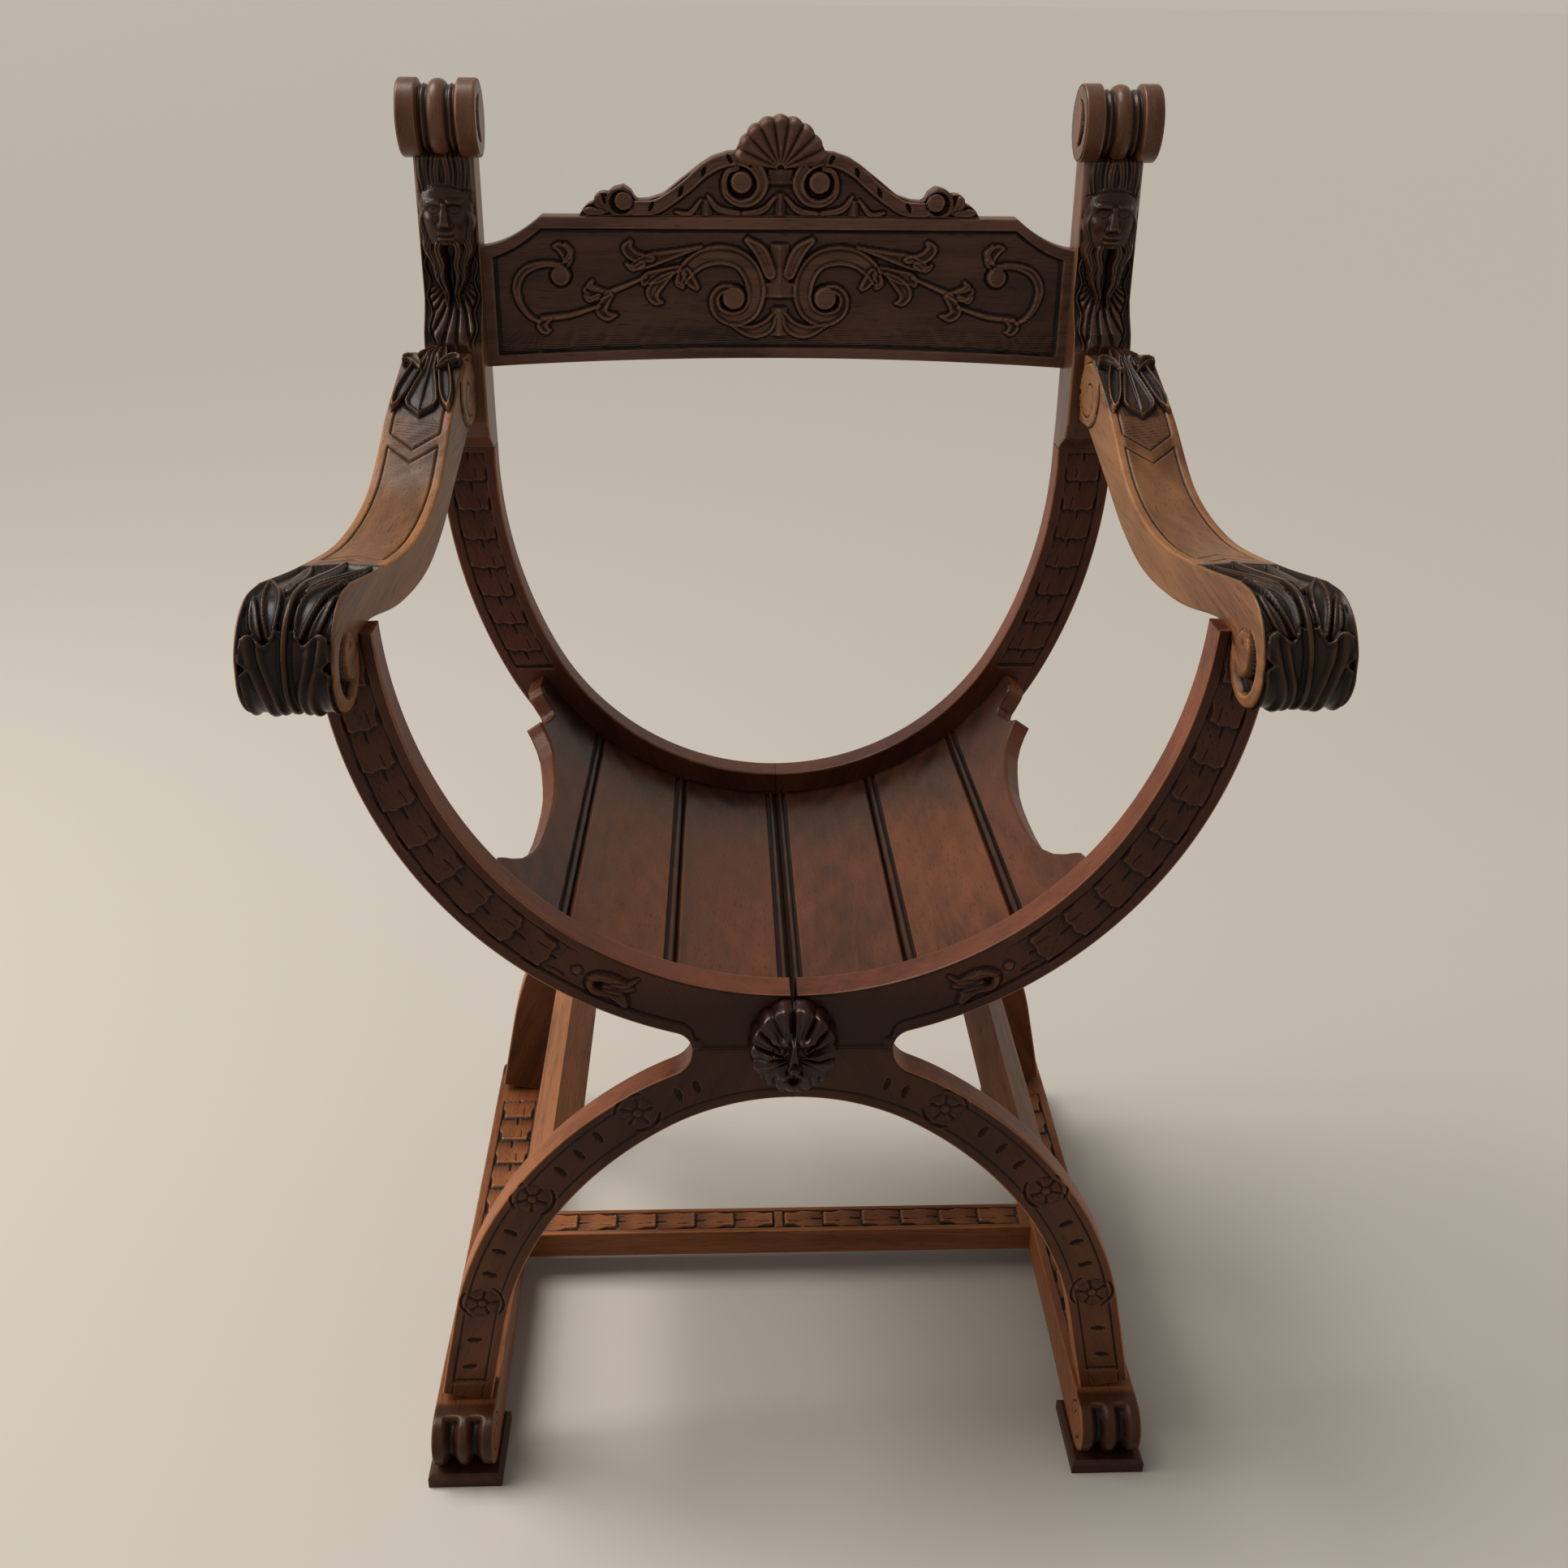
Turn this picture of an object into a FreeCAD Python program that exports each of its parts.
import FreeCAD, Part
import math
import os

# Carved X-frame armchair: two flat frames of quarter arcs stand front and rear
# on scrolled runners, and six seat boards, two rails, two arms and a carved
# back rail tie them together. Nothing on it moves.
# Sizes are in millimetres and angles in degrees. While the pieces are drawn,
# x = 0 is the middle, y = 0 the face of the front frame and z = 0 the floor.

os.makedirs("parts", exist_ok=True)

# Fits
FIT = 0.2
DOWEL_FIT = 0.1
END_ROOM = 0.5
OVERRUN = 5.0

# Frames
FRAME_THICKNESS = 25.0
FRAME_PITCH = 426.0
SEAM_HEIGHT = 405.0
SEAM_OPENING = 2.3
ARM_SEAT_HEIGHT = 735.0

# Front upper arcs
FRONT_U_BOTTOM = 453.0
FRONT_U_RADIUS = 272.0
FRONT_U_TURN = 60.0
FRONT_U_FLARE = 320.0
FRONT_BAND = 45.0
FRONT_HUB_HALF = 75.0

# Rear upper arcs
REAR_U_BOTTOM = 430.0
REAR_U_RADIUS = 232.0
REAR_U_TURN = 63.0
REAR_U_FLARE = 400.0
REAR_BAND = 49.0
REAR_HUB_HALF = 125.0

# Lower arcs, the same front and rear
LEG_ARCH_TOP = 361.0
LEG_CROWN_RADIUS = 181.0
LEG_CROWN_TURN = 31.4
LEG_SIDE_RADIUS = 295.0
LEG_SPLAY = 11.1
LEG_BAND = 41.0

# Seat boards
BOARD_WIDTH = 89.0
BOARD_THICKNESS = 16.0
BOARD_GAP = 0.6
SEAT_DROP_FRONT = 18.0
SEAT_DROP_REAR = 20.0
HOUSING_DEPTH = 8.0
SEAT_EDGE_FRONT = 247.0
SEAT_EDGE_WAIST = 214.0
SEAT_EDGE_SHOULDER = 250.0
SEAT_EDGE_NECK = 238.0
SEAT_EDGE_REAR = 262.0

# Rails under the seat
UNDER_RAIL_SIDE = 28.0
UNDER_RAIL_SPREAD = 189.0
UNDER_RAIL_HEIGHT = 268.0
UNDER_RAIL_TENON_RADIUS = 8.0
UNDER_RAIL_TENON = 12.0

# Runners, plinths and stretcher
PLINTH_HEIGHT = 12.0
PLINTH_WIDTH = 60.0
PLINTH_LENGTH = 71.0
PLINTH_CHAMFER = 3.0
RUNNER_WIDTH = 50.0
RUNNER_HEIGHT = 46.0
RUNNER_OVERHANG = 38.0
RUNNER_TOP_DIP = 4.0
RUNNER_ARCH_RISE = 8.0
RUNNER_FLUTE_WIDTH = 10.0
RUNNER_FLUTE_DEPTH = 6.0
RUNNER_FLUTE_START = 6.0
RUNNER_FLAT = 19.0
RUNNER_EYE_RADIUS = 9.0
RUNNER_RING_RADIUS = 13.5
RUNNER_EYE_DEPTH = 3.0
STRETCHER_DEPTH = 34.0
STRETCHER_HEIGHT = 28.0
STRETCHER_TOP = 50.0
STRETCHER_TENON = 20.0
STRETCHER_TENON_HEIGHT = 12.0
STRETCHER_TENON_DEPTH = 24.0

# Posts, their heights counted from the post's foot
POST_FOOT_RISE = 15.0
POST_LENGTH = 300.0
POST_DEPTH = 35.0
POST_ARM_DEPTH = 54.0
POST_ARM_LENGTH = 95.0
POST_NECK_LENGTH = 130.0
POST_SCROLL_RADIUS = 30.0
POST_SCROLL_WIDTH = 63.0
POST_SCROLL_SETBACK = 3.0
POST_BRACKET = 28.0
POST_TENON = 35.0
POST_TENON_THICKNESS = 9.0
POST_TENON_INSET = 8.0
REED_HOLLOW_X = 10.9
REED_HOLLOW_WIDTH = 8.7
REED_DEPTH = 5.0
POST_EYE_RADIUS = 13.0
POST_RING_RADIUS = 21.0
POST_EYE_DEPTH = 5.0
HEAD_LENGTH = 205.0
HEAD_HALF_WIDTH = 21.0
HEAD_HALF_LENGTH = 31.0
HEAD_RELIEF = 20.0
BEARD_DROP = 15.5
BEARD_LENGTH = 62.0
BEARD_TIP_RADIUS = 5.0

# Arms, their heights counted from the seat on the front frame
ARM_INSET_REAR = 10.1
ARM_INSET_FRONT = 19.0
ARM_PROUD_REAR = 12.7
ARM_PROUD_FRONT = 36.0
ARM_REAR_RISE = 46.0
ARM_REAR_HEIGHT = 57.0
ARM_SCROLL_RADIUS = 28.0
ARM_SCROLL_DROP = 13.0
ARM_CROWN_RISE = 47.0
ARM_BROW_TURN = 65.0
ARM_EYE_RADIUS = 20.0
ARM_EYE_DROP = 5.0
ARM_EYE_DEPTH = 6.0
ARM_BOSS_RADIUS = 26.0
ARM_BOSS_PROUD = 2.0

# Back rail and crest
RAIL_THICKNESS = 22.0
RAIL_RISE = 70.0
RAIL_HEIGHT = 124.0
RAIL_SHOULDER_HEIGHT = 99.0
RAIL_BOTTOM_RISE = 8.0
RAIL_TOP_INSET = 50.3
RAIL_BORDER = 9.0
RAIL_PANEL_DEPTH = 4.0
RAIL_TENON = 20.0
RAIL_TENON_THICKNESS = 10.0
RAIL_TENON_INSET = 15.0
CREST_THICKNESS = 17.0
CREST_HALF = 167.0
CREST_END_VOLUTE_X = 131.0
CREST_END_VOLUTE_RADIUS = 11.0
CREST_BIG_VOLUTE_X = 34.0
CREST_BIG_VOLUTE_RISE = 27.0
CREST_BIG_VOLUTE_RADIUS = 16.0
CREST_RELIEF = 5.0
CREST_SHOULDER_RISE = 51.0
CREST_SHOULDER_X = 40.0
SHELL_RISE = 78.0
SHELL_HALF = 31.0
SHELL_RIBS = 9

# Mask on the front hub
MASK_HEIGHT = 411.0
MASK_HALF_WIDTH = 35.0
MASK_HALF_LENGTH = 40.0
MASK_RELIEF = 20.0
MUZZLE_HALF_WIDTH = 13.0
MUZZLE_HALF_LENGTH = 15.0
MUZZLE_RELIEF = 28.0
MUZZLE_DROP = 10.0

# Dowels
DOWEL_RADIUS = 4.0
DOWEL_REACH = 15.0
FOOT_DOWEL_SPREAD = 20.5
MASK_DOWEL_REACH = 7.5
ARM_DOWEL_RADIUS = 5.0
ARM_DOWEL_REACH = 20.0
ARM_DOWEL_SPREAD = 28.5
CREST_DOWEL_RADIUS = 3.0
CREST_DOWEL_REACH = 12.0
CREST_DOWEL_X = 60.0

# Shares of what each name says
hub_dowel_shares = (1 / 3, 3 / 4)
arm_brow_drop_share = 1 / 3
rail_hollow_shares = (0.38, 0.34)
volute_ring_share = 0.62
volute_eye_share = 0.44
volute_shift_share = 0.1
shell_side_share = 0.86
shell_root_share = 0.2
crest_curve_shares = (0.17, 0.12)
side_sweep_share = 1.3
side_overrun_share = 0.1

across = FreeCAD.Vector(1, 0, 0)
back = FreeCAD.Vector(0, 1, 0)
up = FreeCAD.Vector(0, 0, 1)
ORIGIN = FreeCAD.Vector(0, 0, 0)

foot_height = PLINTH_HEIGHT + RUNNER_HEIGHT
post_foot = ARM_SEAT_HEIGHT + POST_FOOT_RISE
post_top = post_foot + POST_LENGTH
rail_bottom = post_foot + RAIL_RISE
rail_shoulder = rail_bottom + RAIL_SHOULDER_HEIGHT
rail_top = rail_bottom + RAIL_HEIGHT
arm_rear_bottom = ARM_SEAT_HEIGHT + ARM_REAR_RISE
arm_rear_top = arm_rear_bottom + ARM_REAR_HEIGHT
arm_scroll_z = ARM_SEAT_HEIGHT - ARM_SCROLL_DROP
arm_crown_z = arm_scroll_z + ARM_CROWN_RISE
rear_face = FRAME_PITCH
rear_back = FRAME_PITCH + FRAME_THICKNESS
middle_y = (FRAME_PITCH + FRAME_THICKNESS) / 2
front_u_centre = FRONT_U_BOTTOM + FRONT_U_RADIUS
rear_u_centre = REAR_U_BOTTOM + REAR_U_RADIUS
seat_radius_front = FRONT_U_RADIUS + SEAT_DROP_FRONT
seat_radius_rear = REAR_U_RADIUS + SEAT_DROP_REAR


def sine(angle):
    return math.sin(math.radians(angle))


def cosine(angle):
    return math.cos(math.radians(angle))


def xz(x, z, y=0.0):
    return FreeCAD.Vector(x, y, z)


def yz(y, z, x=0.0):
    return FreeCAD.Vector(x, y, z)


def line(start, end):
    return Part.LineSegment(start, end).toShape()


def arc(start, middle, end):
    return Part.Arc(start, middle, end).toShape()


def smooth(points):
    curve = Part.BSplineCurve()
    curve.interpolate(points)
    return curve.toShape()


def prism(edges, reach):
    """Closed outline pushed along a vector."""
    face = Part.Face(Part.Wire(Part.__sortEdges__(edges)))
    return face.extrude(reach)


def polygon(points):
    closed = points + points[:1]
    return [line(closed[i], closed[i + 1]) for i in range(len(points))]


def along_y(reach):
    return FreeCAD.Vector(0, reach, 0)


def along_x(reach):
    return FreeCAD.Vector(reach, 0, 0)


def box(x0, x1, y0, y1, z0, z1):
    return Part.makeBox(x1 - x0, y1 - y0, z1 - z0, FreeCAD.Vector(x0, y0, z0))


def round_bar(radius, start, direction, length):
    return Part.makeCylinder(radius, length, start, direction)


def mirrored(shape):
    return shape.mirror(ORIGIN, across)


def ellipsoid(centre, half_x, half_y, half_z):
    ball = Part.makeSphere(1.0)
    stretch = FreeCAD.Matrix()
    stretch.scale(half_x, half_y, half_z)
    ball = ball.transformGeometry(stretch)
    ball.translate(centre)
    return ball


def dowel(centre, direction, radius, reach):
    start = centre - direction * reach
    return round_bar(radius, start, direction, 2 * reach)


def dowel_hole(centre, direction, radius, reach):
    return dowel(centre, direction, radius + DOWEL_FIT, reach + END_ROOM)


# Outline of a frame
def below(centre_x, centre_z, radius, angle):
    """Point on a circle, the angle counted from straight down towards +x."""
    return xz(centre_x + radius * sine(angle), centre_z - radius * cosine(angle))


def above(centre_x, centre_z, radius, angle):
    """Point on a circle, the angle counted from straight up towards +x."""
    return xz(centre_x + radius * sine(angle), centre_z + radius * cosine(angle))


def u_side(centre_z, radius, turn, flare, start, top):
    """Edges of a U-shaped side: a round bottom, a flatter side, then upright."""
    flare_x = (radius - flare) * sine(turn)
    flare_z = centre_z - (radius - flare) * cosine(turn)
    first = below(0, centre_z, radius, start)
    second = below(0, centre_z, radius, turn)
    edges = [arc(first, below(0, centre_z, radius, (start + turn) / 2), second)]
    last = 90.0
    if top < flare_z:
        last = math.degrees(math.acos((flare_z - top) / flare))
    third = below(flare_x, flare_z, flare, last)
    edges.append(arc(second, below(flare_x, flare_z, flare, (turn + last) / 2), third))
    if top > third.z + FIT:
        end = xz(third.x, top)
        edges.append(line(third, end))
        third = end
    return edges, first, third


def hub_round(centre_x, centre_z, radius, hub_half):
    """Hollow between two arcs: it stands upright on the seam and runs into the arc."""
    reach = hub_half - centre_x
    drop = centre_z - SEAM_HEIGHT
    hollow = (reach ** 2 + drop ** 2 - radius ** 2) / (2 * (radius - reach))
    centre = xz(hub_half + hollow, SEAM_HEIGHT)
    lean = math.degrees(math.atan2(centre.x - centre_x, abs(drop)))
    return hollow, centre, lean


def hollow_edge(hollow, centre, lean, upwards):
    """The hollow's arc, from the seam to where it meets the frame's own arc."""
    side = 1 if upwards else -1
    last = 90.0 - lean
    points = [xz(centre.x - hollow * cosine(angle), centre.z + side * hollow * sine(angle))
              for angle in (0, last / 2, last)]
    return arc(*points)


def upper_arc(bottom, radius, turn, flare, outer, outer_flare, hub_half, top, face):
    """Right half of an upper frame, flat, from the seam to its top."""
    centre_z = bottom + radius
    inner_edges, inner_low, inner_high = u_side(centre_z, radius, turn, flare, 0, top)
    hollow, centre, lean = hub_round(0, centre_z, outer, hub_half)
    outer_edges, outer_low, outer_high = u_side(centre_z, outer, turn, outer_flare, lean, top)
    seam_end = xz(hub_half, SEAM_HEIGHT)
    edges = inner_edges + outer_edges
    edges.append(hollow_edge(hollow, centre, lean, True))
    edges.append(line(inner_high, outer_high))
    edges.append(line(seam_end, xz(0, SEAM_HEIGHT)))
    edges.append(line(xz(0, SEAM_HEIGHT), inner_low))
    piece = prism(edges, along_y(FRAME_THICKNESS))
    slit = prism(polygon([xz(0, MASK_HEIGHT), xz(SEAM_OPENING, bottom), xz(SEAM_OPENING, bottom + OVERRUN),
                          xz(-OVERRUN, bottom + OVERRUN), xz(-OVERRUN, MASK_HEIGHT)]),
                 along_y(FRAME_THICKNESS))
    piece = piece.cut(slit)
    piece.translate(along_y(face))
    return piece


def seat_groove(centre_z, radius, edge, face, depth):
    """Curved housing for the ends of the seat boards."""
    inner = radius - FIT
    outer = radius + BOARD_THICKNESS + FIT
    last = math.degrees((edge + FIT) / radius)
    first = -last
    edges = [arc(below(0, centre_z, inner, first), below(0, centre_z, inner, 0),
                 below(0, centre_z, inner, last)),
             arc(below(0, centre_z, outer, first), below(0, centre_z, outer, 0),
                 below(0, centre_z, outer, last)),
             line(below(0, centre_z, inner, first), below(0, centre_z, outer, first)),
             line(below(0, centre_z, inner, last), below(0, centre_z, outer, last))]
    groove = prism(edges, along_y(depth))
    groove.translate(along_y(face))
    return groove


leg_side_x = (LEG_CROWN_RADIUS - LEG_SIDE_RADIUS) * sine(LEG_CROWN_TURN)
leg_crown_z = LEG_ARCH_TOP - LEG_CROWN_RADIUS
leg_side_z = leg_crown_z + (LEG_CROWN_RADIUS - LEG_SIDE_RADIUS) * cosine(LEG_CROWN_TURN)


def leg_foot_x(offset):
    radius = LEG_SIDE_RADIUS + offset
    end = above(leg_side_x, leg_side_z, radius, 90 - LEG_SPLAY)
    return end.x + (end.z - foot_height) * math.tan(math.radians(LEG_SPLAY))


def leg_side(offset, start):
    """Edges of a lower arc, from its crown out and down to the foot."""
    crown = LEG_CROWN_RADIUS + offset
    side = LEG_SIDE_RADIUS + offset
    edges = []
    if start < LEG_CROWN_TURN:
        first = above(0, leg_crown_z, crown, start)
        second = above(0, leg_crown_z, crown, LEG_CROWN_TURN)
        edges.append(arc(first, above(0, leg_crown_z, crown, (start + LEG_CROWN_TURN) / 2), second))
        start = LEG_CROWN_TURN
    else:
        first = above(leg_side_x, leg_side_z, side, start)
    last = 90 - LEG_SPLAY
    third = above(leg_side_x, leg_side_z, side, last)
    edges.append(arc(above(leg_side_x, leg_side_z, side, start),
                     above(leg_side_x, leg_side_z, side, (start + last) / 2), third))
    foot = xz(leg_foot_x(offset), foot_height)
    edges.append(line(third, foot))
    return edges, first, foot


def lower_arc(hub_half, face):
    """Right half of a lower frame: the hub's underside, the arch and the leg."""
    inner_edges, inner_high, inner_foot = leg_side(0, 0)
    hollow, centre, lean = hub_round(0, leg_crown_z, LEG_CROWN_RADIUS + LEG_BAND, hub_half)
    if lean > LEG_CROWN_TURN:
        hollow, centre, lean = hub_round(leg_side_x, leg_side_z, LEG_SIDE_RADIUS + LEG_BAND, hub_half)
    outer_edges, outer_high, outer_foot = leg_side(LEG_BAND, lean)
    edges = inner_edges + outer_edges
    edges.append(hollow_edge(hollow, centre, lean, False))
    edges.append(line(inner_foot, outer_foot))
    edges.append(line(xz(hub_half, SEAM_HEIGHT), xz(0, SEAM_HEIGHT)))
    edges.append(line(xz(0, SEAM_HEIGHT), inner_high))
    piece = prism(edges, along_y(FRAME_THICKNESS))
    piece.translate(along_y(face))
    return piece


foot_inner = leg_foot_x(0)
foot_outer = foot_inner + LEG_BAND / cosine(LEG_SPLAY)
foot_middle = (foot_inner + foot_outer) / 2
post_line, post_low, post_high = u_side(rear_u_centre, REAR_U_RADIUS, REAR_U_TURN, REAR_U_FLARE, 0, post_foot)
post_inner = post_high.x
post_outer = post_inner + REAR_BAND
post_middle = (post_inner + post_outer) / 2
arm_inner_rear = post_inner + ARM_INSET_REAR
arm_inner_front = FRONT_U_RADIUS + ARM_INSET_FRONT
arm_outer_rear = post_outer + ARM_PROUD_REAR
arm_outer_front = FRONT_U_RADIUS + FRONT_BAND + ARM_PROUD_FRONT


# Dowels, each hole and its dowel from the same places
hub_places = {}
for name, face, hub_half in (("front", 0.0, FRONT_HUB_HALF), ("rear", rear_face, REAR_HUB_HALF)):
    y = face + FRAME_THICKNESS / 2
    hub_places[name] = [xz(side * share * hub_half, SEAM_HEIGHT, y)
                        for side in (-1, 1) for share in hub_dowel_shares]
seam_dowel_z = (LEG_ARCH_TOP + SEAM_HEIGHT) / 2
seam_places = {"front": xz(0, seam_dowel_z, FRAME_THICKNESS / 2),
               "rear": xz(0, seam_dowel_z, rear_face + FRAME_THICKNESS / 2)}
foot_places = {}
for name, face in (("front", 0.0), ("rear", rear_face)):
    y = face + FRAME_THICKNESS / 2
    foot_places[name] = [xz(foot_middle + side * FOOT_DOWEL_SPREAD / 2, foot_height, y) for side in (-1, 1)]
arm_x = (arm_inner_front + FRONT_U_RADIUS + FRONT_BAND) / 2
arm_front_place = xz(arm_x, ARM_SEAT_HEIGHT, FRAME_THICKNESS / 2)
arm_face = rear_back - POST_ARM_DEPTH
arm_rear_places = [xz(post_middle, (arm_rear_top + arm_rear_bottom + side * ARM_DOWEL_SPREAD) / 2, arm_face)
                   for side in (-1, 1)]
mask_place = xz(0, (FRONT_U_BOTTOM + SEAM_HEIGHT) / 2)


# Under-seat rails
def under_rail_tenon(clearance):
    start = xz(UNDER_RAIL_SPREAD, UNDER_RAIL_HEIGHT, FRAME_THICKNESS - UNDER_RAIL_TENON - clearance)
    length = rear_face - FRAME_THICKNESS + 2 * (UNDER_RAIL_TENON + clearance)
    return round_bar(UNDER_RAIL_TENON_RADIUS + clearance, start, back, length)


def under_seat_rail():
    half = UNDER_RAIL_SIDE * cosine(45)
    x, z = UNDER_RAIL_SPREAD, UNDER_RAIL_HEIGHT
    corners = [xz(x, z + half), xz(x + half, z), xz(x, z - half), xz(x - half, z)]
    bar = prism(polygon(corners), along_y(rear_face - FRAME_THICKNESS))
    bar.translate(along_y(FRAME_THICKNESS))
    return bar.fuse(under_rail_tenon(0)).removeSplitter()


# Posts
def post_tenon(clearance):
    thickness = POST_TENON_THICKNESS
    y = rear_face + FRAME_THICKNESS / 2
    inset = POST_TENON_INSET - clearance
    return box(post_inner + inset, post_outer - inset,
               y - thickness / 2 - clearance, y + thickness / 2 + clearance,
               post_foot - POST_TENON - clearance, post_foot)


scroll_y = rear_back - POST_SCROLL_SETBACK - POST_SCROLL_RADIUS
scroll_z = post_top - POST_SCROLL_RADIUS
post_face = rear_back - POST_DEPTH


def post_scroll():
    """Three-reeded scroll that rolls forward over the post."""
    x0 = post_middle - POST_SCROLL_WIDTH / 2
    roll = round_bar(POST_SCROLL_RADIUS, yz(scroll_y, scroll_z, x0), across, POST_SCROLL_WIDTH)
    core = round_bar(POST_SCROLL_RADIUS - REED_DEPTH, yz(scroll_y, scroll_z, x0), across, POST_SCROLL_WIDTH)
    for side in (-1, 1):
        start = post_middle + side * REED_HOLLOW_X - REED_HOLLOW_WIDTH / 2
        hollow = round_bar(POST_SCROLL_RADIUS + OVERRUN, yz(scroll_y, scroll_z, start), across,
                           REED_HOLLOW_WIDTH)
        roll = roll.cut(hollow.cut(core))
    for side in (-1, 1):
        end = post_middle + side * POST_SCROLL_WIDTH / 2
        start = min(end, end - side * POST_EYE_DEPTH)
        ring = round_bar(POST_RING_RADIUS, yz(scroll_y, scroll_z, start), across, POST_EYE_DEPTH)
        eye = round_bar(POST_EYE_RADIUS, yz(scroll_y - REED_DEPTH / 2, scroll_z, start), across, POST_EYE_DEPTH)
        roll = roll.cut(ring.cut(eye))
    return roll


def back_post():
    """Right post: a bracket foot, the arm's seat, the carved head and the scroll."""
    arm_foot = post_foot + POST_BRACKET
    arm_top = post_foot + POST_ARM_LENGTH
    neck = post_foot + POST_NECK_LENGTH
    turn_y = arm_face + (rear_face - arm_face) * (1 - cosine(45))
    turn_z = arm_foot - POST_BRACKET * sine(45)
    shoulder = scroll_z - POST_SCROLL_RADIUS
    roll_back = scroll_y + POST_SCROLL_RADIUS
    edges = [line(yz(rear_back, post_foot), yz(rear_face, post_foot)),
             arc(yz(rear_face, post_foot), yz(turn_y, turn_z), yz(arm_face, arm_foot)),
             line(yz(arm_face, arm_foot), yz(arm_face, arm_top)),
             smooth([yz(arm_face, arm_top), yz((arm_face + post_face) / 2, (arm_top + neck) / 2),
                     yz(post_face, neck)]),
             line(yz(post_face, neck), yz(post_face, scroll_z)),
             line(yz(post_face, scroll_z), yz(roll_back, scroll_z)),
             line(yz(roll_back, scroll_z), yz(rear_back, shoulder)),
             line(yz(rear_back, shoulder), yz(rear_back, post_foot))]
    post = prism(edges, along_x(REAR_BAND))
    post.translate(along_x(post_inner))
    post = post.fuse(post_scroll())
    head_z = post_foot + HEAD_LENGTH
    head = ellipsoid(yz(post_face, head_z, post_middle), HEAD_HALF_WIDTH, HEAD_RELIEF, HEAD_HALF_LENGTH)
    beard_tip = yz(post_face, head_z - BEARD_DROP - BEARD_LENGTH, post_middle)
    beard = Part.makeCone(BEARD_TIP_RADIUS, HEAD_HALF_WIDTH, BEARD_LENGTH, beard_tip, up)
    rear_room = box(post_inner, post_outer, post_face + POST_DEPTH / 2, rear_back + 2 * OVERRUN,
                    post_foot, post_top)
    post = post.fuse(head.cut(rear_room)).fuse(beard.cut(rear_room))
    post = post.fuse(post_tenon(0))
    post = post.cut(rail_tenon(FIT))
    for place in arm_rear_places:
        post = post.cut(dowel_hole(place, back, ARM_DOWEL_RADIUS, ARM_DOWEL_REACH))
    return post.removeSplitter()


# Arms
def arm_side_x(y, inner):
    """Distance of the arm's side from the chair's middle at a depth y."""
    share = (arm_face - y) / (arm_face + 2 * ARM_SCROLL_RADIUS)
    if inner:
        return arm_inner_rear + share * (arm_inner_front - arm_inner_rear)
    return arm_outer_rear + share * (arm_outer_front - arm_outer_rear)


arm_scroll_y = -ARM_SCROLL_RADIUS - FIT
# Depth shares from the frame's face back to the post, height shares from the
# scroll's crown up to the arm's rear top, and from the seat up to its rear bottom.
arm_top_shares = ((0.94, 1.00), (0.79, 0.54), (0.62, -0.10), (0.42, -0.32), (0.20, -0.20), (0.005, 0.00))
arm_under_shares = ((0.93, 1.00), (0.76, 0.35), (0.62, -0.18), (0.47, -0.47), (0.28, -0.40), (0.12, -0.11))


def arm():
    """Right arm: sawn to its side profile, then to its plan, then carved at the scroll."""
    rise = arm_rear_top - arm_crown_z
    under_rise = arm_rear_bottom - ARM_SEAT_HEIGHT
    top = [yz(y * arm_face, arm_crown_z + z * rise) for y, z in arm_top_shares]
    under = [yz(y * arm_face, ARM_SEAT_HEIGHT + z * under_rise) for y, z in arm_under_shares]
    seat_back = yz(FRAME_THICKNESS + FIT, ARM_SEAT_HEIGHT)
    seat_front = yz(arm_scroll_y + ARM_SCROLL_RADIUS, ARM_SEAT_HEIGHT)
    radius = ARM_SCROLL_RADIUS
    low = arm_scroll_z - radius * sine(45)
    front = yz(arm_scroll_y - radius, arm_scroll_z)
    bottom = yz(arm_scroll_y, arm_scroll_z - radius)
    rear = yz(arm_scroll_y + radius, arm_scroll_z)
    brow = yz(arm_scroll_y - radius * cosine(ARM_BROW_TURN), arm_crown_z - radius * arm_brow_drop_share)
    edges = [line(yz(arm_face, arm_rear_bottom), yz(arm_face, arm_rear_top)),
             line(yz(arm_face, arm_rear_top), top[0]),
             smooth(top),
             arc(top[-1], brow, front),
             arc(front, yz(arm_scroll_y - radius * cosine(45), low), bottom),
             arc(bottom, yz(arm_scroll_y + radius * cosine(45), low), rear),
             line(rear, seat_front),
             line(seat_front, seat_back),
             smooth([seat_back] + under[::-1]),
             line(under[0], yz(arm_face, arm_rear_bottom))]
    piece = prism(edges, along_x(arm_outer_front + OVERRUN))
    far = arm_scroll_y - radius - OVERRUN
    plan = [FreeCAD.Vector(arm_side_x(far, True), far, 0), FreeCAD.Vector(arm_side_x(far, False), far, 0),
            FreeCAD.Vector(arm_side_x(arm_face, False), arm_face, 0),
            FreeCAD.Vector(arm_side_x(arm_face, True), arm_face, 0)]
    piece = piece.common(prism(polygon(plan), up * post_top))
    piece = piece.cut(arm_eye(True)).cut(arm_eye(False))
    piece = piece.fuse(arm_boss())
    piece = piece.cut(dowel_hole(arm_front_place, up, ARM_DOWEL_RADIUS, ARM_DOWEL_REACH))
    for place in arm_rear_places:
        piece = piece.cut(dowel_hole(place, back, ARM_DOWEL_RADIUS, ARM_DOWEL_REACH))
    return piece.removeSplitter()


def arm_side_normal(inner):
    near = arm_side_x(arm_scroll_y, inner)
    far = arm_side_x(arm_face, inner)
    lean = math.atan2(near - far, arm_face - arm_scroll_y)
    side = -1 if inner else 1
    return FreeCAD.Vector(side * math.cos(lean), side * math.sin(lean), 0)


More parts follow.
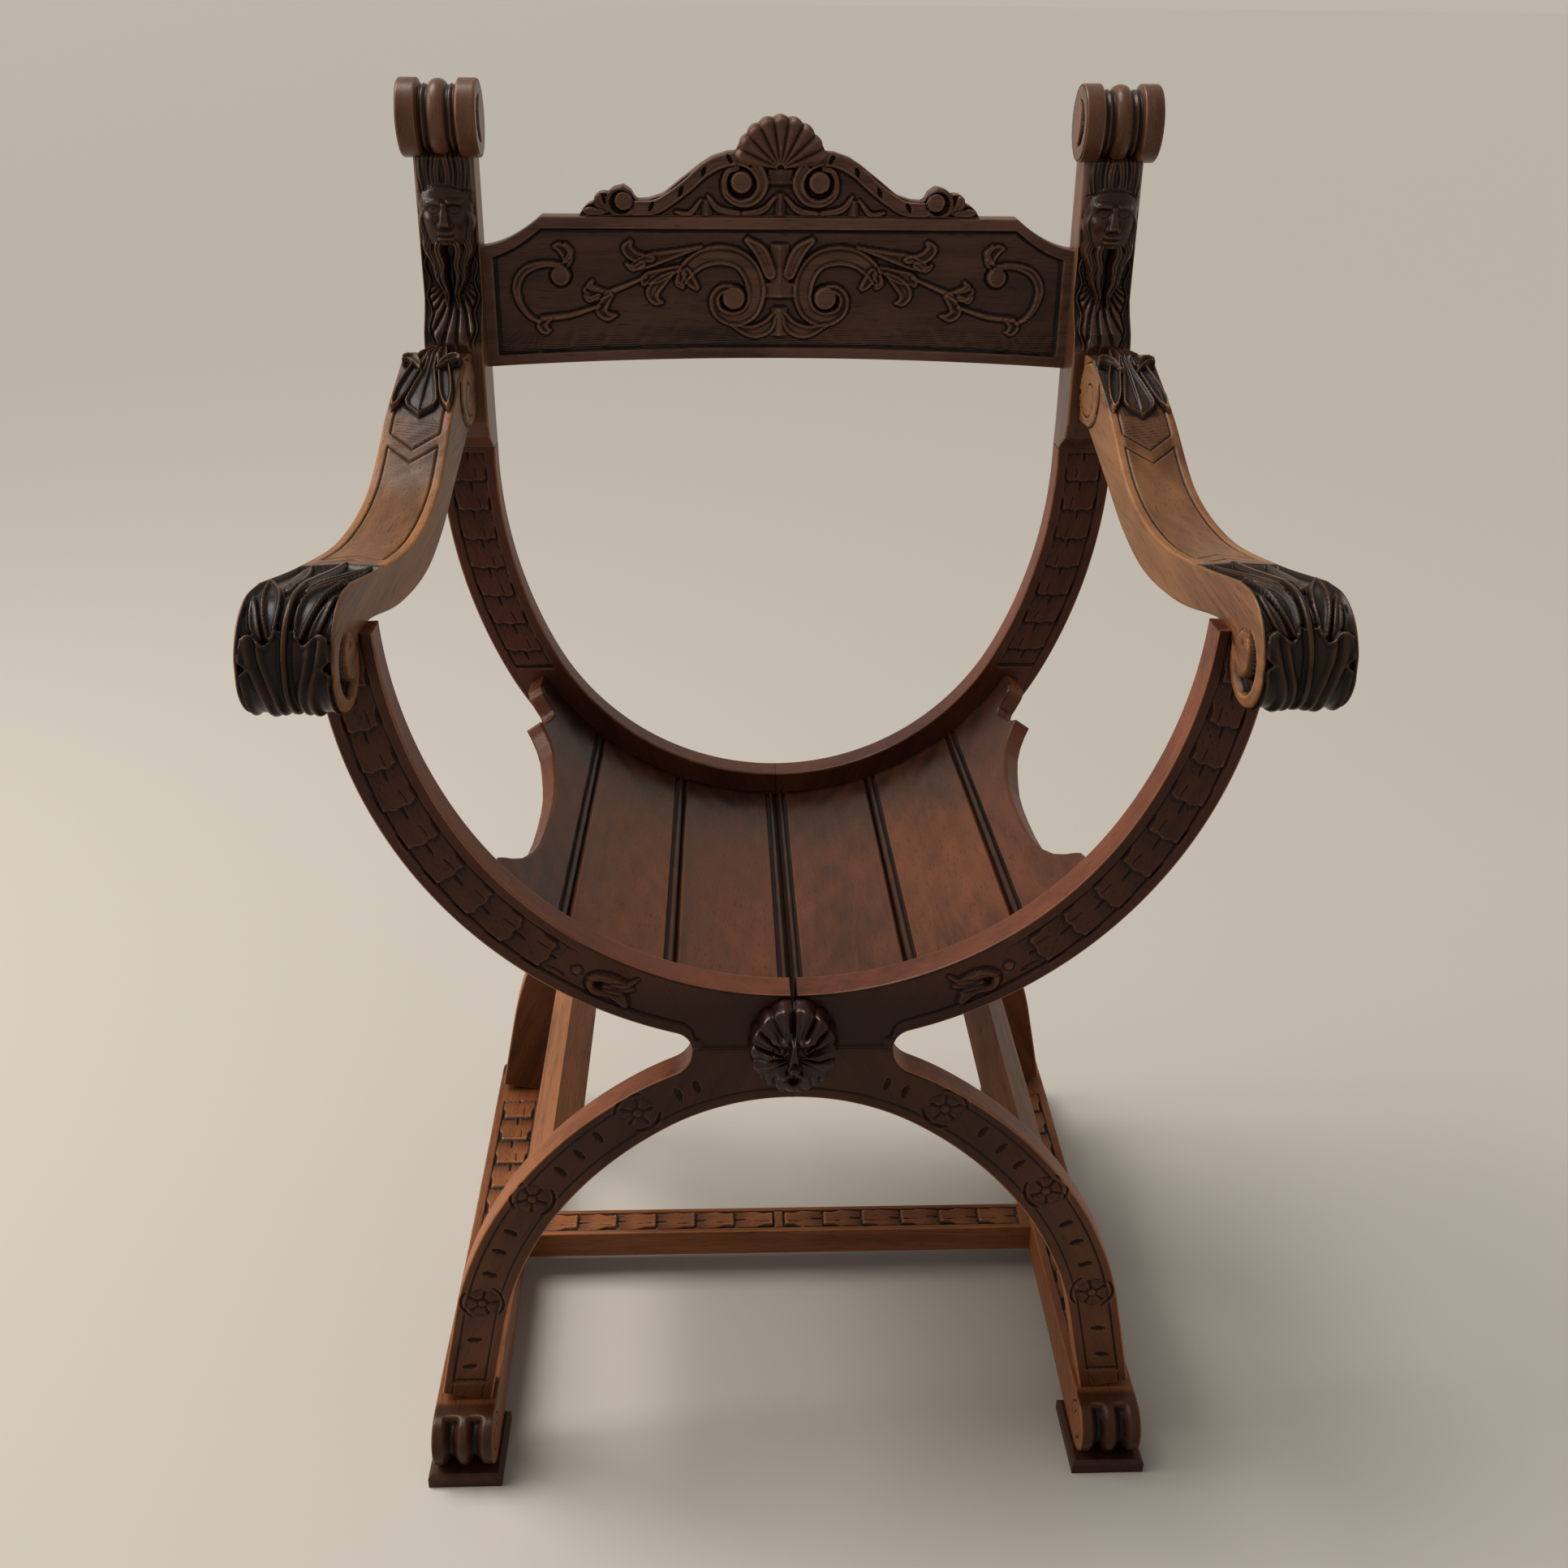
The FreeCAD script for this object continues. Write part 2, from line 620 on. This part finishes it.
def arm_eye(inner):
    """Crescent recess round the scroll's eye."""
    outward = arm_side_normal(inner)
    place = yz(arm_scroll_y, arm_scroll_z, arm_side_x(arm_scroll_y, inner)) - outward * ARM_EYE_DEPTH
    recess = round_bar(ARM_EYE_RADIUS, place, outward, ARM_EYE_DEPTH + OVERRUN)
    eye_radius = ARM_EYE_RADIUS - ARM_EYE_DROP - FIT
    eye = round_bar(eye_radius, place + yz(ARM_EYE_DROP, -ARM_EYE_DROP / 2), outward, ARM_EYE_DEPTH + OVERRUN)
    return recess.cut(eye)


def arm_boss():
    """Round disc where the arm meets the post, on the inner side."""
    outward = arm_side_normal(True)
    y = arm_face - ARM_BOSS_RADIUS - FIT
    z = (arm_rear_top + arm_rear_bottom) / 2
    place = yz(y, z, arm_side_x(y, True)) - outward * ARM_BOSS_PROUD
    return round_bar(ARM_BOSS_RADIUS, place, outward, 2 * ARM_BOSS_PROUD)


# Back rail and crest
rail_face = rear_back - (FRAME_THICKNESS - RAIL_THICKNESS) / 2 - RAIL_THICKNESS
rail_half = post_inner


def rail_outline(inset):
    """Rail's outline, or the panel's, a border further in."""
    half = rail_half - inset
    low = rail_bottom + inset
    corner = rail_half - RAIL_TOP_INSET - inset
    shoulder = rail_shoulder - inset
    top = rail_top - inset
    hollow_x = corner + (half - corner) * rail_hollow_shares[0]
    hollow_z = shoulder + (top - shoulder) * rail_hollow_shares[1]
    edges = [arc(xz(-half, low), xz(0, low + RAIL_BOTTOM_RISE), xz(half, low))]
    edges.append(line(xz(-corner, top), xz(corner, top)))
    for side in (-1, 1):
        edges.append(line(xz(side * half, low), xz(side * half, shoulder)))
        edges.append(arc(xz(side * half, shoulder), xz(side * hollow_x, hollow_z), xz(side * corner, top)))
    return edges


def rail_tenon(clearance):
    y = rail_face + RAIL_THICKNESS / 2
    reach = rail_half + RAIL_TENON + clearance
    return box(-reach, reach, y - RAIL_TENON_THICKNESS / 2 - clearance, y + RAIL_TENON_THICKNESS / 2 + clearance,
               rail_bottom + RAIL_TENON_INSET - clearance, rail_shoulder - RAIL_TENON_INSET + clearance)


crest_y = rail_face + (RAIL_THICKNESS - CREST_THICKNESS) / 2


def crest_dowel_places():
    y = rail_face + RAIL_THICKNESS / 2
    return [xz(side * CREST_DOWEL_X, rail_top, y) for side in (-1, 1)]


def back_rail():
    rail = prism(rail_outline(0), along_y(RAIL_THICKNESS))
    panel = prism(rail_outline(RAIL_BORDER), along_y(RAIL_PANEL_DEPTH + OVERRUN))
    panel.translate(along_y(-OVERRUN))
    rail = rail.cut(panel)
    rail.translate(along_y(rail_face))
    rail = rail.fuse(rail_tenon(0))
    for place in crest_dowel_places():
        rail = rail.cut(dowel_hole(place, up, CREST_DOWEL_RADIUS, CREST_DOWEL_REACH))
    return rail.removeSplitter()


def crest_volute(x, z, radius, side):
    """Raised scroll with a sunk ring round its eye."""
    roll = round_bar(radius, xz(x, z, crest_y - CREST_RELIEF), back, CREST_RELIEF + CREST_THICKNESS)
    ring = round_bar(radius * volute_ring_share, xz(x, z, crest_y - CREST_RELIEF), back, CREST_RELIEF)
    shift = side * radius * volute_shift_share
    eye = round_bar(radius * volute_eye_share, xz(x + shift, z, crest_y - CREST_RELIEF), back, CREST_RELIEF)
    return roll.cut(ring.cut(eye))


def crest_shell():
    """Fan of ribs, widest at their round tips."""
    base_z = rail_top + CREST_BIG_VOLUTE_RISE + CREST_BIG_VOLUTE_RADIUS
    tip = rail_top + SHELL_RISE - base_z
    ribs = []
    for i in range(SHELL_RIBS):
        lean = -90 + 90 * (2 * i + 1) / SHELL_RIBS
        reach = tip - (tip - SHELL_HALF * shell_side_share) * abs(sine(lean))
        rib_radius = reach * sine(90 / SHELL_RIBS) / (1 + sine(90 / SHELL_RIBS))
        end = xz((reach - rib_radius) * sine(lean), base_z + (reach - rib_radius) * cosine(lean), crest_y)
        start = xz(0, base_z, crest_y)
        direction = end - start
        cone = Part.makeCone(rib_radius * shell_root_share, rib_radius, direction.Length, start, direction)
        ribs.append(cone.fuse(Part.makeSphere(rib_radius, end)))
    fan = ribs[0].multiFuse(ribs[1:])
    room = box(-CREST_HALF, CREST_HALF, crest_y + CREST_THICKNESS, rear_back + CREST_HALF, rail_top, post_top)
    return fan.cut(room)


def back_crest():
    """Crest on the rail: end leaves, end scrolls, S-shaped sides, big scrolls and a shell."""
    base = rail_top
    end_z = base + CREST_END_VOLUTE_RADIUS + FIT
    big_z = base + CREST_BIG_VOLUTE_RISE
    neck_x = CREST_END_VOLUTE_X - CREST_END_VOLUTE_RADIUS
    waist_x = (neck_x + CREST_SHOULDER_X) / 2
    shoulder_z = base + CREST_SHOULDER_RISE
    leaf_x = (CREST_HALF + CREST_END_VOLUTE_X + CREST_END_VOLUTE_RADIUS) / 2
    climb = shoulder_z - end_z
    sides = []
    for side in (-1, 1):
        sides.append(arc(xz(side * CREST_HALF, base), xz(side * (CREST_HALF - CREST_RELIEF), base + CREST_RELIEF),
                         xz(side * leaf_x, end_z)))
        sides.append(line(xz(side * leaf_x, end_z), xz(side * neck_x, end_z)))
        sides.append(smooth([xz(side * neck_x, end_z),
                             xz(side * (neck_x + waist_x) / 2, end_z + climb * crest_curve_shares[0]),
                             xz(side * waist_x, (end_z + shoulder_z) / 2),
                             xz(side * (waist_x + CREST_SHOULDER_X) / 2,
                                shoulder_z - climb * crest_curve_shares[1]),
                             xz(side * CREST_SHOULDER_X, shoulder_z)]))
    edges = sides + [line(xz(-CREST_SHOULDER_X, shoulder_z), xz(CREST_SHOULDER_X, shoulder_z)),
                     line(xz(-CREST_HALF, base), xz(CREST_HALF, base))]
    crest = prism(edges, along_y(CREST_THICKNESS))
    crest.translate(along_y(crest_y))
    for side in (-1, 1):
        crest = crest.fuse(crest_volute(side * CREST_END_VOLUTE_X, end_z, CREST_END_VOLUTE_RADIUS, side))
        crest = crest.fuse(crest_volute(side * CREST_BIG_VOLUTE_X, big_z, CREST_BIG_VOLUTE_RADIUS, side))
    crest = crest.fuse(crest_shell())
    for place in crest_dowel_places():
        crest = crest.cut(dowel_hole(place, up, CREST_DOWEL_RADIUS, CREST_DOWEL_REACH))
    return crest.removeSplitter()


# Seat boards
def board_section(centre_z, radius, first, last, y):
    """Sector of the seat's curve, its sides given as lengths along the curve."""
    low = math.degrees(first / radius)
    high = math.degrees(last / radius)
    middle = (low + high) / 2
    outer = radius + BOARD_THICKNESS
    edges = [arc(below(0, centre_z, radius, low), below(0, centre_z, radius, middle),
                 below(0, centre_z, radius, high)),
             line(below(0, centre_z, radius, high), below(0, centre_z, outer, high)),
             arc(below(0, centre_z, outer, high), below(0, centre_z, outer, middle),
                 below(0, centre_z, outer, low)),
             line(below(0, centre_z, outer, low), below(0, centre_z, radius, low))]
    wire = Part.Wire(edges)
    wire.translate(along_y(y))
    return wire


def seat_board(first, last):
    """Board between the frames, with its ends let into both grooves."""
    front = board_section(front_u_centre, seat_radius_front, first, last, FRAME_THICKNESS)
    rear = board_section(rear_u_centre, seat_radius_rear, first, last, rear_face)
    span = Part.makeLoft([front, rear], True, True)
    tongue = HOUSING_DEPTH - FIT
    front_end = Part.Face(front).extrude(along_y(-tongue))
    rear_end = Part.Face(rear).extrude(along_y(tongue))
    return span.fuse(front_end).fuse(rear_end).removeSplitter()


side_lean = math.degrees(2 * (SEAT_EDGE_WAIST + BOARD_GAP) / (seat_radius_front + seat_radius_rear))
# Depth shares between the frames, from the front, of the outer board's sawn edge
side_depth_shares = {"cusp": 0.115, "hollow": 0.20, "waist": 0.38, "rise": 0.59, "sweep": 0.70,
                     "shoulder": 0.77, "neck": 0.835, "knob": 0.895, "tip": 0.945}


def side_point(depth_share, edge):
    """Point of the sawn edge on the plane that lies along the outer board."""
    y = FRAME_THICKNESS + depth_share * (rear_face - FRAME_THICKNESS)
    radius = seat_radius_front + depth_share * (seat_radius_rear - seat_radius_front)
    centre_z = front_u_centre + depth_share * (rear_u_centre - front_u_centre)
    swing = math.degrees(edge / radius) - side_lean
    w = radius * sine(swing) + centre_z * sine(side_lean)
    return FreeCAD.Vector(w * cosine(side_lean), y, w * sine(side_lean))


def side_cutter():
    """Waste beyond the outer board's sawn edge."""
    at = side_depth_shares
    third = (SEAT_EDGE_FRONT - SEAT_EDGE_WAIST) / 3
    before = -side_overrun_share
    behind = 1 + side_overrun_share
    front = side_point(before, SEAT_EDGE_FRONT)
    cusp = side_point(at["cusp"], SEAT_EDGE_FRONT)
    shoulder = side_point(at["shoulder"], SEAT_EDGE_SHOULDER)
    neck = side_point(at["neck"], SEAT_EDGE_NECK)
    tip = side_point(at["tip"], SEAT_EDGE_REAR)
    rear = side_point(behind, SEAT_EDGE_REAR)
    hollow = smooth([cusp, side_point(at["hollow"], SEAT_EDGE_WAIST + third),
                     side_point(at["waist"], SEAT_EDGE_WAIST), side_point(at["rise"], SEAT_EDGE_WAIST + third / 3),
                     side_point(at["sweep"], SEAT_EDGE_WAIST + side_sweep_share * third), shoulder])
    knob = arc(neck, side_point(at["knob"], SEAT_EDGE_REAR - third / 2), tip)
    clear = SEAT_EDGE_REAR + 2 * HOUSING_DEPTH
    far_rear = side_point(behind, clear)
    far_front = side_point(before, clear)
    edges = [line(front, cusp), hollow, line(shoulder, neck), knob, line(tip, rear),
             line(rear, far_rear), line(far_rear, far_front), line(far_front, front)]
    inward = FreeCAD.Vector(-sine(side_lean), 0, cosine(side_lean))
    return prism(edges, inward * (2 * FRONT_U_RADIUS))


# Runners, plinths and stretcher
runner_inner = foot_middle - RUNNER_WIDTH / 2
runner_outer = foot_middle + RUNNER_WIDTH / 2
runner_roll = RUNNER_HEIGHT / 2
runner_roll_z = PLINTH_HEIGHT + runner_roll
runner_roll_y = runner_roll - RUNNER_OVERHANG


def runner():
    """Right runner: a long bar with a scroll at each end and an arched underside."""
    front_roll = runner_roll_y
    rear_roll = 2 * middle_y - runner_roll_y
    top = foot_height
    plinth_end = PLINTH_LENGTH - RUNNER_OVERHANG + PLINTH_CHAMFER
    flat_end = FRAME_THICKNESS + RUNNER_FLAT
    far = 2 * middle_y
    edges = [arc(yz(front_roll, PLINTH_HEIGHT), yz(-RUNNER_OVERHANG, runner_roll_z), yz(front_roll, top)),
             line(yz(front_roll, top), yz(flat_end, top)),
             arc(yz(flat_end, top), yz(middle_y, top - RUNNER_TOP_DIP), yz(far - flat_end, top)),
             line(yz(far - flat_end, top), yz(rear_roll, top)),
             arc(yz(rear_roll, top), yz(far + RUNNER_OVERHANG, runner_roll_z), yz(rear_roll, PLINTH_HEIGHT)),
             line(yz(rear_roll, PLINTH_HEIGHT), yz(far - plinth_end, PLINTH_HEIGHT)),
             arc(yz(far - plinth_end, PLINTH_HEIGHT), yz(middle_y, PLINTH_HEIGHT + RUNNER_ARCH_RISE),
                 yz(plinth_end, PLINTH_HEIGHT)),
             line(yz(plinth_end, PLINTH_HEIGHT), yz(front_roll, PLINTH_HEIGHT))]
    bar = prism(edges, along_x(RUNNER_WIDTH))
    bar.translate(along_x(runner_inner))
    for roll_y, side in ((front_roll, -1), (rear_roll, 1)):
        bar = bar.cut(runner_flutes(roll_y, side))
        for x in (runner_inner, runner_outer - RUNNER_EYE_DEPTH):
            ring = round_bar(RUNNER_RING_RADIUS, yz(roll_y, runner_roll_z, x), across, RUNNER_EYE_DEPTH)
            eye = round_bar(RUNNER_EYE_RADIUS, yz(roll_y, runner_roll_z, x), across, RUNNER_EYE_DEPTH)
            bar = bar.cut(ring.cut(eye))
    bar = bar.cut(stretcher_tenon(FIT))
    for name in ("front", "rear"):
        for place in foot_places[name]:
            bar = bar.cut(dowel_hole(place, up, DOWEL_RADIUS, DOWEL_REACH))
        bar = bar.cut(dowel_hole(plinth_dowel_place(name), up, DOWEL_RADIUS, PLINTH_HEIGHT - PLINTH_CHAMFER))
    return bar.removeSplitter()


def runner_flutes(roll_y, side):
    """Two flutes down the end of the scroll, which leave three lands."""
    flutes = None
    land = (RUNNER_WIDTH - 2 * RUNNER_FLUTE_WIDTH) / 3
    for x in (runner_inner + land, runner_outer - land - RUNNER_FLUTE_WIDTH):
        roll = round_bar(runner_roll + OVERRUN, yz(roll_y, runner_roll_z, x), across, RUNNER_FLUTE_WIDTH)
        core = round_bar(runner_roll - RUNNER_FLUTE_DEPTH, yz(roll_y, runner_roll_z, x), across,
                         RUNNER_FLUTE_WIDTH)
        near = roll_y + side * RUNNER_FLUTE_START
        far = roll_y + side * (runner_roll + 2 * OVERRUN)
        room = box(x, x + RUNNER_FLUTE_WIDTH, min(near, far), max(near, far), 0, foot_height)
        flute = roll.cut(core).common(room)
        flutes = flute if flutes is None else flutes.fuse(flute)
    return flutes


def plinth_dowel_place(name):
    y = PLINTH_LENGTH / 2 - RUNNER_OVERHANG
    if name == "rear":
        y = 2 * middle_y - y
    return xz(foot_middle, PLINTH_HEIGHT, y)


def plinth(name):
    place = plinth_dowel_place(name)
    slab = box(place.x - PLINTH_WIDTH / 2, place.x + PLINTH_WIDTH / 2,
               place.y - PLINTH_LENGTH / 2 + FIT, place.y + PLINTH_LENGTH / 2, 0, PLINTH_HEIGHT)
    rim = [edge for edge in slab.Edges if edge.BoundBox.ZMin > PLINTH_HEIGHT / 2]
    slab = slab.makeChamfer(PLINTH_CHAMFER, rim)
    return slab.cut(dowel_hole(place, up, DOWEL_RADIUS, PLINTH_HEIGHT - PLINTH_CHAMFER))


def stretcher_tenon(clearance):
    z = STRETCHER_TOP - STRETCHER_HEIGHT / 2
    reach = runner_inner + STRETCHER_TENON + clearance
    return box(-reach, reach, middle_y - STRETCHER_TENON_DEPTH / 2 - clearance,
               middle_y + STRETCHER_TENON_DEPTH / 2 + clearance,
               z - STRETCHER_TENON_HEIGHT / 2 - clearance, z + STRETCHER_TENON_HEIGHT / 2 + clearance)


def cross_stretcher():
    bar = box(-runner_inner, runner_inner, middle_y - STRETCHER_DEPTH / 2, middle_y + STRETCHER_DEPTH / 2,
              STRETCHER_TOP - STRETCHER_HEIGHT, STRETCHER_TOP)
    return bar.fuse(stretcher_tenon(0)).removeSplitter()


# Mask
def lion_mask():
    """Domed head with a raised muzzle, flat where it is let against the hub."""
    head = ellipsoid(xz(0, MASK_HEIGHT), MASK_HALF_WIDTH, MASK_RELIEF, MASK_HALF_LENGTH)
    muzzle = ellipsoid(xz(0, MASK_HEIGHT - MUZZLE_DROP), MUZZLE_HALF_WIDTH, MUZZLE_RELIEF, MUZZLE_HALF_LENGTH)
    head = head.fuse(muzzle)
    behind = box(-MASK_HALF_LENGTH, MASK_HALF_LENGTH, 0, 2 * MUZZLE_RELIEF,
                 MASK_HEIGHT - 2 * MASK_HALF_LENGTH, MASK_HEIGHT + 2 * MASK_HALF_LENGTH)
    head = head.cut(behind)
    return head.cut(dowel_hole(mask_place, back, DOWEL_RADIUS, MASK_DOWEL_REACH))


def build():
    """Every piece by its name, still in the drawing's frame."""
    pieces = {}
    pairs = {}
    front_groove = seat_groove(front_u_centre, seat_radius_front, SEAT_EDGE_FRONT,
                               FRAME_THICKNESS - HOUSING_DEPTH, HOUSING_DEPTH + OVERRUN)
    rear_groove = seat_groove(rear_u_centre, seat_radius_rear, SEAT_EDGE_REAR,
                              rear_face - OVERRUN, HOUSING_DEPTH + OVERRUN)
    front_upper = upper_arc(FRONT_U_BOTTOM, FRONT_U_RADIUS, FRONT_U_TURN, FRONT_U_FLARE,
                            FRONT_U_RADIUS + FRONT_BAND, FRONT_U_RADIUS + FRONT_BAND,
                            FRONT_HUB_HALF, ARM_SEAT_HEIGHT, 0.0)
    front_upper = front_upper.cut(front_groove)
    front_upper = front_upper.cut(dowel_hole(arm_front_place, up, ARM_DOWEL_RADIUS, ARM_DOWEL_REACH))
    front_upper = front_upper.cut(dowel_hole(mask_place, back, DOWEL_RADIUS, MASK_DOWEL_REACH))
    rear_upper = upper_arc(REAR_U_BOTTOM, REAR_U_RADIUS, REAR_U_TURN, REAR_U_FLARE,
                           REAR_U_RADIUS + REAR_BAND, REAR_U_FLARE + REAR_BAND,
                           REAR_HUB_HALF, post_foot, rear_face)
    rear_upper = rear_upper.cut(rear_groove).cut(post_tenon(FIT))
    lowers = {}
    for name, face, hub_half in (("front", 0.0, FRONT_HUB_HALF), ("rear", rear_face, REAR_HUB_HALF)):
        lower = lower_arc(hub_half, face).cut(under_rail_tenon(FIT))
        lower = lower.cut(dowel_hole(seam_places[name], across, DOWEL_RADIUS, DOWEL_REACH))
        for place in foot_places[name]:
            lower = lower.cut(dowel_hole(place, up, DOWEL_RADIUS, DOWEL_REACH))
        for place in hub_places[name]:
            lower = lower.cut(dowel_hole(place, up, DOWEL_RADIUS, DOWEL_REACH))
            if name == "front":
                front_upper = front_upper.cut(dowel_hole(place, up, DOWEL_RADIUS, DOWEL_REACH))
            else:
                rear_upper = rear_upper.cut(dowel_hole(place, up, DOWEL_RADIUS, DOWEL_REACH))
        lowers[name] = lower
    pairs["front_upper_arc"] = front_upper
    pairs["rear_upper_arc"] = rear_upper
    pairs["front_lower_arc"] = lowers["front"]
    pairs["rear_lower_arc"] = lowers["rear"]
    pairs["under_seat_rail"] = under_seat_rail()
    pairs["back_post"] = back_post()
    pairs["arm"] = arm()
    pairs["runner"] = runner()
    pairs["plinth_front"] = plinth("front")
    pairs["plinth_rear"] = plinth("rear")
    start = BOARD_GAP / 2
    for name in ("inner", "middle"):
        pairs["seat_board_" + name] = seat_board(start, start + BOARD_WIDTH - BOARD_GAP)
        start = start + BOARD_WIDTH
    pairs["seat_board_outer"] = seat_board(start, SEAT_EDGE_REAR + HOUSING_DEPTH).cut(side_cutter())
    for name, shape in pairs.items():
        pieces[name + "_right"] = shape
        pieces[name + "_left"] = mirrored(shape)
    pieces["back_rail"] = back_rail()
    pieces["back_crest"] = back_crest()
    pieces["cross_stretcher"] = cross_stretcher()
    pieces["lion_mask"] = lion_mask()
    for name in ("front", "rear"):
        pins = [dowel(place, up, DOWEL_RADIUS, DOWEL_REACH) for place in hub_places[name]]
        pins.append(dowel(seam_places[name], across, DOWEL_RADIUS, DOWEL_REACH))
        pieces[name + "_hub_dowels"] = Part.makeCompound(pins)
    legs = [dowel(place, up, DOWEL_RADIUS, DOWEL_REACH) for name in foot_places for place in foot_places[name]]
    plinths = [dowel(plinth_dowel_place(name), up, DOWEL_RADIUS, PLINTH_HEIGHT - PLINTH_CHAMFER)
               for name in ("front", "rear")]
    arms_front = [dowel(arm_front_place, up, ARM_DOWEL_RADIUS, ARM_DOWEL_REACH)]
    arms_rear = [dowel(place, back, ARM_DOWEL_RADIUS, ARM_DOWEL_REACH) for place in arm_rear_places]
    groups = {"leg_dowels": legs, "plinth_dowels": plinths, "arm_front_dowels": arms_front,
              "arm_rear_dowels": arms_rear}
    for name, pins in groups.items():
        pieces[name] = Part.makeCompound(pins + [mirrored(pin) for pin in pins])
    pieces["crest_dowels"] = Part.makeCompound([dowel(place, up, CREST_DOWEL_RADIUS, CREST_DOWEL_REACH)
                                                for place in crest_dowel_places()])
    pieces["mask_dowel"] = dowel(mask_place, back, DOWEL_RADIUS, MASK_DOWEL_REACH)
    return pieces


pieces = build()
front = min(shape.BoundBox.YMin for shape in pieces.values())
rear = max(shape.BoundBox.YMax for shape in pieces.values())
centre_shift = along_y(-(front + rear) / 2)
for name, shape in pieces.items():
    shape.translate(centre_shift)
    shape.exportStep("parts/" + name + ".step")
    print(name, len(shape.Solids), shape.isValid(), round(shape.Volume))
print("shift", centre_shift.y, "foot", foot_middle)
